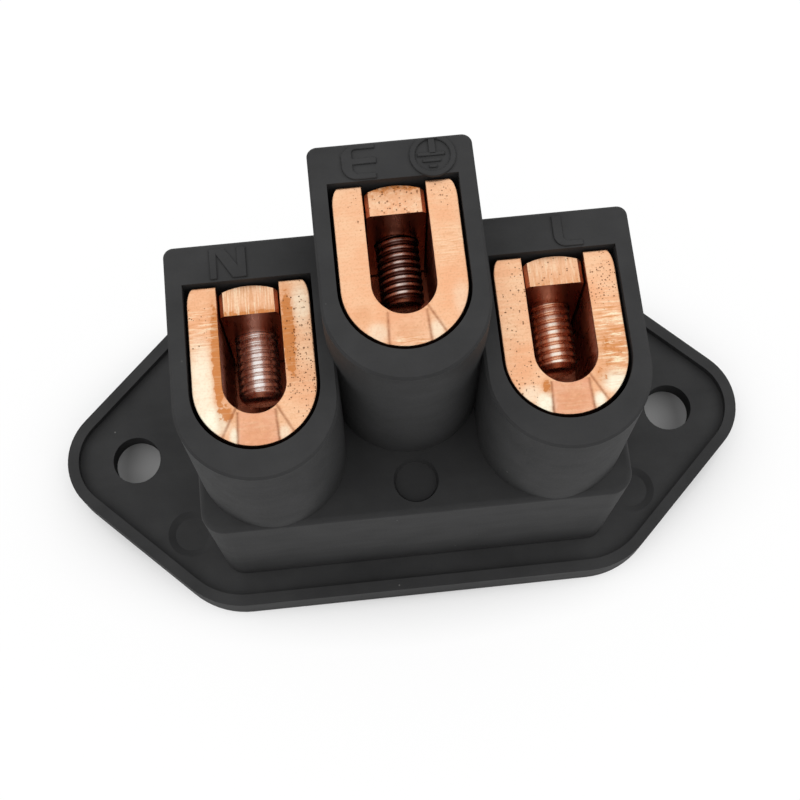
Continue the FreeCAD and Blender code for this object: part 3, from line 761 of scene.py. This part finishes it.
def slab(name, xy, heights, floor):
    """A closed block: a grid of heights on top, its border carried straight down to the floor."""
    rows, columns = heights.shape
    top = np.concatenate([xy, heights[..., None]], 2).reshape(-1, 3)
    base = top.copy()
    base[:, 2] = floor
    index = np.arange(rows * columns).reshape(rows, columns)
    quads = np.stack([index[:-1, :-1], index[1:, :-1], index[1:, 1:], index[:-1, 1:]], 2).reshape(-1, 4)
    border = np.concatenate([index[0, :-1], index[:-1, -1], index[-1, :0:-1], index[:0:-1, 0]])
    onward = np.roll(border, -1)
    count = len(top)
    sides = np.stack([border, onward, onward + count, border + count], 1)
    faces = np.concatenate([quads, sides, quads[:, ::-1] + count])
    mesh = bpy.data.meshes.new(name)
    mesh.from_pydata(np.concatenate([top, base]).tolist(), [], faces.tolist())
    finishes = [END_FACE] * len(quads) + [WALL] * (len(sides) + len(quads))
    mesh.polygons.foreach_set("material_index", finishes)
    return mesh


def block_top(pole, name):
    """The block down to the floor of its slot, with its marks, and a place on that floor."""
    low, high = [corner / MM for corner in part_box("terminal_" + pole)]
    bar_low, bar_high = [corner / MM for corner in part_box("clamp_bar_" + pole)]
    height = high.y - low.y
    slot_half = (bar_high.x - bar_low.x) / 2 + SLOT_PLAY
    xy, edge_gap = end_grid(*strip_paths((high.x - low.x) / 2, height, slot_half))
    form, crease_shade, foot = foot_form(xy[..., 0], xy[..., 1], height, slot_half, CREASE[pole])
    mesh = slab(name, xy, form - rounded(edge_gap), -SLOT_DEPTH)
    paint(mesh, MARKED[pole])
    bare = np.zeros(crease_shade.size)
    store(mesh, "crease_shade", np.concatenate([crease_shade.ravel(), bare]))
    store(mesh, "foot", np.concatenate([FOOT_TONE[pole] * foot.ravel(), bare]))
    top_middle = Vector(((low.x + high.x) / 2, high.y, high.z))
    mesh.transform(Matrix.Scale(MM, 4) @ Matrix.Translation(top_middle))
    return mesh, Vector((0, 0, high.z - SLOT_DEPTH)) * MM


def merged_copy(node):
    """A working copy of one solid with its corners joined."""
    work = bmesh.new()
    work.from_mesh(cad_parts[node].data)
    bmesh.ops.remove_doubles(work, verts=work.verts, dist=WELD)
    bmesh.ops.dissolve_limit(work, angle_limit=FLAT, verts=work.verts, edges=work.edges)
    return work


def block_rest(pole, floor):
    """The solid's block and blade below the floor of the slot, closed where they are cut."""
    work = merged_copy("terminal_" + pole)
    parts = work.verts[:] + work.edges[:] + work.faces[:]
    bmesh.ops.bisect_plane(work, geom=parts, plane_co=floor, plane_no=(0, 0, 1), clear_outer=True)
    bmesh.ops.contextual_create(work, geom=[edge for edge in work.edges if edge.is_boundary])
    bmesh.ops.recalc_face_normals(work, faces=work.faces)
    for face in work.faces:
        face.material_index = WALL if face.normal.z > LEVEL_FACE else END_FACE
    return work


print("slot depth in mm:", SLOT_DEPTH)

# %% [markdown]
# ## Copper U blocks
# The two halves of each block are now put in one mesh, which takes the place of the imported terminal. Two
# objects would look the same, but a terminal is one piece of metal. Smooth shading that stops at sharp
# edges keeps the rounded rim soft and the walls flat.

# %% Copper U blocks
BLOCK_SHARP = math.radians(40)

for pole in POLES:
    name = "terminal_" + pole + "_block"
    mesh, floor = block_top(pole, name)
    work = block_rest(pole, floor)
    rest_faces = len(work.faces)
    work.from_mesh(mesh)
    work.to_mesh(mesh)
    work.free()
    mesh.materials.append(BLOCK_COPPER[pole])
    mesh.materials.append(wall_copper)
    mesh.shade_smooth()
    mesh.set_sharp_from_angle(angle=BLOCK_SHARP)
    block = bpy.data.objects.new(name, mesh)
    bpy.context.collection.objects.link(block)
    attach(block, "inlet")
    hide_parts("terminal_" + pole)
    print(block.name, "faces:", len(mesh.polygons), "of them below the slot:", rest_faces)

# %% [markdown]
# ## Clamp bars
# Each bar is a short piece of crowned copper strip with a threaded hole, tumbled after cutting, so
# its edges are all softly broken. The solid has the right form with sharp edges. A merged copy of it
# with a small bevel is the tumbled bar, bright on top and brown at its sides.

# %% Clamp bars
BAR_BREAK = 0.07
BREAK_SEGMENTS = 3
BAR_SHARP = math.radians(25)
BAR_TOP = 0.3


def applied(piece):
    """Turns a piece's modifiers into its mesh, which gets the piece's name."""
    raw = piece.data
    shaped = bpy.data.meshes.new_from_object(piece.evaluated_get(bpy.context.evaluated_depsgraph_get()))
    piece.modifiers.clear()
    piece.data = shaped
    bpy.data.meshes.remove(raw)
    shaped.name = piece.name
    return shaped


for pole in POLES:
    node = "clamp_bar_" + pole
    work = merged_copy(node)
    bmesh.ops.recalc_face_normals(work, faces=work.faces)
    for face in work.faces:
        face.material_index = END_FACE if face.normal.z > BAR_TOP else WALL
    mesh = bpy.data.meshes.new(node + "_tumbled")
    work.to_mesh(mesh)
    work.free()
    mesh.shade_smooth()
    mesh.set_sharp_from_angle(angle=BAR_SHARP)
    bar = bpy.data.objects.new(mesh.name, mesh)
    bpy.context.collection.objects.link(bar)
    soften = bar.modifiers.new("broken_edges", "BEVEL")
    soften.width = BAR_BREAK * MM
    soften.segments = BREAK_SEGMENTS
    soften.limit_method = "ANGLE"
    soften.angle_limit = BAR_SHARP
    soften.harden_normals = True
    shaped = applied(bar)
    shaped.materials.append(BAR_COPPER[pole])
    shaped.materials.append(wall_copper)
    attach(bar, "inlet")
    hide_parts(node)
    print(bar.name, "faces:", len(shaped.polygons))

# %% [markdown]
# ## Screw plating
# The screws are taken as steel with a copper-coloured plating. Their heads are all plated alike, but the
# threads differ: one is pale and greyish, one is dark and one is still coppery. A flat colour would hide
# the thread's form. So a thin line on each crest is an attribute that the thread's own node tree stores,
# and the finish mixes two colours by it: a pale crest, wear with a painted highlight, and a darker root,
# plating with painted shade in the groove.

# %% Screw plating
HEAD_PLATING = (0.72, 0.5, 0.4, 1)
PLATING_ROUGH = (0.22, 0.36)


def screw_finish(name, shift, crest, root):
    """Plated steel: pale crests with painted highlights, painted shade between them, one plating on every
    head.
    """
    material, tree, shader = finish_of(name)
    wear_and_highlight = add_node(tree, "ShaderNodeAttribute", attribute_name="wear_and_highlight").outputs["Fac"]
    head = add_node(tree, "ShaderNodeAttribute", attribute_name="head").outputs["Fac"]
    patch = grain(tree, object_mm(tree, shift=shift), 1.1, 4.0)
    scratch = grain(tree, object_mm(tree, (6.0, 0.6, 6.0), shift), 1.2, 4.0)
    # Painted highlight on the crests and painted shade in the grooves, mixed by the crest line.
    share = sums(tree, "MULTIPLY", wear_and_highlight, spread(tree, patch, 0.3, 0.6), clamp=True)
    look = {
        "Base Color": tint(tree, head, tint(tree, share, root, crest), HEAD_PLATING),
        "Roughness": spread(tree, scratch, 0.3, 0.7, *PLATING_ROUGH),
        "Metallic": 1.0,
    }
    fill(tree, shader, look)
    return material


# Each crest colour holds a painted highlight and each root colour painted shade, with the plating.
PLATING = {
    "neutral": screw_finish(
        "screw_neutral_plating", (1, 2, 3), crest=(1.0, 0.99, 0.98, 1), root=(0.86, 0.77, 0.73, 1)
    ),
    "earth": screw_finish(
        "screw_earth_plating", (4, 8, 2), crest=(0.74, 0.6, 0.54, 1), root=(0.12, 0.06, 0.05, 1)
    ),
    "line": screw_finish(
        "screw_line_plating", (7, 1, 5), crest=(1.0, 0.92, 0.82, 1), root=(0.88, 0.56, 0.4, 1)
    ),
}
print("screw platings:", sorted(PLATING))

# %% [markdown]
# ## Inputs of the screw tree
# All three screws are the same part. Each could be modelled by hand, but one Geometry Nodes tree makes
# them all: its sizes are named inputs, and a screw is the tree with its own values. Three small helpers
# keep the tree short to read.

# %% Inputs of the screw tree
SCREW_INPUTS = {
    "Tip": "NodeSocketVector",
    "Turn": "NodeSocketFloat",
    "Thread Radius": "NodeSocketFloat",
    "Thread Depth": "NodeSocketFloat",
    "Crest Half": "NodeSocketFloat",
    "Pitch": "NodeSocketFloat",
    "Length": "NodeSocketFloat",
    "Rows": "NodeSocketInt",
    "Tip Bevel": "NodeSocketFloat",
    "Head Radius": "NodeSocketFloat",
    "Head Height": "NodeSocketFloat",
    "Slot Width": "NodeSocketFloat",
    "Slot Depth": "NodeSocketFloat",
    "Material": "NodeSocketMaterial",
}


def point(tree, x=0.0, y=0.0, z=0.0):
    """Three numbers made one place."""
    return add_node(tree, "ShaderNodeCombineXYZ", {"X": x, "Y": y, "Z": z}).outputs[0]


def moved(tree, geometry, place, tilt=(0, 0, 0)):
    """Geometry tilted and carried to a place."""
    sockets = {"Geometry": geometry, "Translation": place, "Rotation": tilt}
    return add_node(tree, "GeometryNodeTransform", sockets).outputs[0]


def noted(tree, geometry, name, value, domain="POINT", where=True):
    """Geometry that keeps a number under a name."""
    sockets = {"Geometry": geometry, "Selection": where, "Name": name, "Value": value}
    kind = "GeometryNodeStoreNamedAttribute"
    return add_node(tree, kind, sockets, data_type="FLOAT", domain=domain).outputs[0]


maker = bpy.data.node_groups.new("slotted_clamp_screw", "GeometryNodeTree")
sockets = {}
for key, kind in SCREW_INPUTS.items():
    sockets[key] = maker.interface.new_socket(key, in_out="INPUT", socket_type=kind).identifier
maker.interface.new_socket("Geometry", in_out="OUTPUT", socket_type="NodeSocketGeometry")
given = add_node(maker, "NodeGroupInput").outputs
print("screw inputs:", list(sockets))

# %% [markdown]
# ## Thread
# A thread is a ridge that runs round the shank in a helix. It could be swept along a spiral, but the
# sweep's ends and overlaps are hard to close. Here a fine cylinder gets a radius that follows the
# thread's phase: how far along the pitch a point lies, less its share of the turn. The tip is bevelled
# by a limit on the same radius, so the mesh stays closed.

# %% Thread
THREAD_SIDES = 56
GROOVE_FLOOR = 0.47
CREST_HIGHLIGHT_LINE = (0.24, 0.1)

barrel = {"Vertices": THREAD_SIDES, "Side Segments": given["Rows"], "Radius": 1.0, "Depth": given["Length"]}
shank = add_node(maker, "GeometryNodeMeshCylinder", barrel).outputs["Mesh"]
here = add_node(maker, "GeometryNodeInputPosition").outputs[0]
spot = add_node(maker, "ShaderNodeSeparateXYZ", {"Vector": here}).outputs
along = sums(maker, "ADD", spot[2], times(maker, given["Length"], 0.5))
round_share = sums(maker, "DIVIDE", sums(maker, "ARCTAN2", spot[1], spot[0]), 2 * math.pi)
turns = sums(maker, "ADD", sums(maker, "DIVIDE", along, given["Pitch"]), given["Turn"])
phase = sums(maker, "FRACT", sums(maker, "SUBTRACT", turns, round_share))
ridge = sums(maker, "PINGPONG", phase, 0.5)
flank = {"Value": ridge, "From Min": given["Crest Half"], "From Max": GROOVE_FLOOR}
groove = add_node(maker, "ShaderNodeMapRange", flank, interpolation_type="SMOOTHSTEP").outputs["Result"]
cut = sums(maker, "SUBTRACT", given["Thread Radius"], times(maker, groove, given["Thread Depth"]))
tip_radius = sums(maker, "SUBTRACT", given["Thread Radius"], given["Tip Bevel"])
radius = sums(maker, "MINIMUM", cut, sums(maker, "ADD", tip_radius, along))
across_x = times(maker, spot[0], radius)
across_z = times(maker, times(maker, spot[1], radius), -1.0)
# The crest line carries wear and the painted highlight of the finish.
crested = noted(maker, shank, "wear_and_highlight", spread(maker, ridge, *CREST_HIGHLIGHT_LINE))
helix = {"Geometry": crested, "Position": point(maker, across_x, along, across_z)}
thread = add_node(maker, "GeometryNodeSetPosition", helix).outputs[0]
print("nodes in the thread:", len(maker.nodes))

# %% [markdown]
# ## Slotted head
# The head is a plain disc with a screwdriver slot, at the back of the tower. A saw makes the slot on
# the real screw, and here a long thin box does, as a boolean cut. Its sharp edges get a bevel weight,
# so that a bevel can break them later and leave the thread alone.

# %% Slotted head
SLOT_REACH = 3.0
SHARP_TURN = 0.6

coin = {"Vertices": THREAD_SIDES, "Radius": given["Head Radius"], "Depth": given["Head Height"]}
disc = add_node(maker, "GeometryNodeMeshCylinder", coin).outputs["Mesh"]
head_middle = sums(maker, "ADD", given["Length"], times(maker, given["Head Height"], 0.5))
head = moved(maker, disc, point(maker, y=head_middle), (-math.pi / 2, 0, 0))
saw_length = times(maker, given["Head Radius"], SLOT_REACH)
saw_height = times(maker, given["Slot Depth"], 2.0)
saw_size = point(maker, saw_length, saw_height, given["Slot Width"])
saw = add_node(maker, "GeometryNodeMeshCube", {"Size": saw_size}).outputs["Mesh"]
head_top = sums(maker, "ADD", given["Length"], given["Head Height"])
sawing = {"Mesh 1": head, "Mesh 2": moved(maker, saw, point(maker, y=head_top))}
slotted = add_node(maker, "GeometryNodeMeshBoolean", sawing, operation="DIFFERENCE").outputs["Mesh"]
edge_turn = add_node(maker, "GeometryNodeInputMeshEdgeAngle").outputs["Unsigned Angle"]
sharp = add_node(maker, "FunctionNodeCompare", {0: edge_turn, 1: SHARP_TURN}, operation="GREATER_THAN")
weighted = noted(maker, slotted, "bevel_weight_edge", 1.0, "EDGE", sharp.outputs[0])
capped = noted(maker, weighted, "head", 1.0)
print("nodes in thread and head:", len(maker.nodes))

# %% [markdown]
# ## Whole screw
# Head and thread are joined, carried to where the tip lies and given their finish. An export drops
# instances, so Realize Instances comes before the finish, and what leaves the tree is a plain mesh.

# %% Whole screw
joined = add_node(maker, "GeometryNodeJoinGeometry")
maker.links.new(capped, joined.inputs[0])
maker.links.new(thread, joined.inputs[0])
placed = moved(maker, joined.outputs[0], given["Tip"])
real = add_node(maker, "GeometryNodeRealizeInstances", {"Geometry": placed}).outputs[0]
plated = {"Geometry": real, "Material": given["Material"]}
dressed = add_node(maker, "GeometryNodeSetMaterial", plated).outputs[0]
add_node(maker, "NodeGroupOutput", {"Geometry": dressed})
print("nodes in the screw:", len(maker.nodes))

# %% [markdown]
# ## Clamp screws
# Each screw takes its place, its length and its head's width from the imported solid. Copies of one mesh
# would be quicker, but each screw has stopped at its own turn, with crests of its own width. A bevel
# breaks the head's edges, and the result becomes a plain mesh.

# %% Clamp screws
PITCH = 0.48
ROWS_PER_TURN = 14
THREAD_RADIUS = 1.3
THREAD_DEPTH = 0.13
TIP_BEVEL = 0.3
TURNS = {"neutral": 0.3, "earth": 0.62, "line": 0.05}
CREST_HALF = {"neutral": 0.24, "earth": 0.12, "line": 0.26}
HEAD_HEIGHT = 1.6
HEAD_SLOT = (0.7, 0.8)
HEAD_BREAK = 0.1
SCREW_SHARP = math.radians(50)

for pole in POLES:
    node = "clamp_screw_" + pole
    low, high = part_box(node)
    length = high.y - low.y - HEAD_HEIGHT * MM
    values = {
        "Tip": Vector(((low.x + high.x) / 2, low.y, (low.z + high.z) / 2)),
        "Turn": TURNS[pole],
        "Thread Radius": THREAD_RADIUS * MM,
        "Thread Depth": THREAD_DEPTH * MM,
        "Crest Half": CREST_HALF[pole],
        "Pitch": PITCH * MM,
        "Length": length,
        "Rows": round(length / (PITCH * MM) * ROWS_PER_TURN),
        "Tip Bevel": TIP_BEVEL * MM,
        "Head Radius": (high.x - low.x) / 2,
        "Head Height": HEAD_HEIGHT * MM,
        "Slot Width": HEAD_SLOT[0] * MM,
        "Slot Depth": HEAD_SLOT[1] * MM,
        "Material": PLATING[pole],
    }
    screw = bpy.data.objects.new(node + "_threaded", bpy.data.meshes.new(node + "_start"))
    bpy.context.collection.objects.link(screw)
    cutter = screw.modifiers.new("thread", "NODES")
    cutter.node_group = maker
    for key, value in values.items():
        cutter[sockets[key]] = value
    soften = screw.modifiers.new("broken_edges", "BEVEL")
    soften.width = HEAD_BREAK * MM
    soften.segments = BREAK_SEGMENTS
    soften.limit_method = "WEIGHT"
    made = applied(screw)
    made.shade_smooth()
    made.set_sharp_from_angle(angle=SCREW_SHARP)
    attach(screw, "screw_" + pole)
    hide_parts(node)
    print(screw.name, "faces:", len(made.polygons), "turns:", round(length / MM / PITCH, 1))

# %% [markdown]
# ## Size
# The finished looks are compared with the solid's own box, so that a piece that has grown or gone missing
# would show. Only the raised marks reach past it, by their own height.

# %% Size
looks_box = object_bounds()
for corner, before, after in zip(("low", "high"), cad_box, looks_box):
    print(corner, "corner grown by, in mm:", [round((b - a) / MM, 3) for a, b in zip(before, after)])
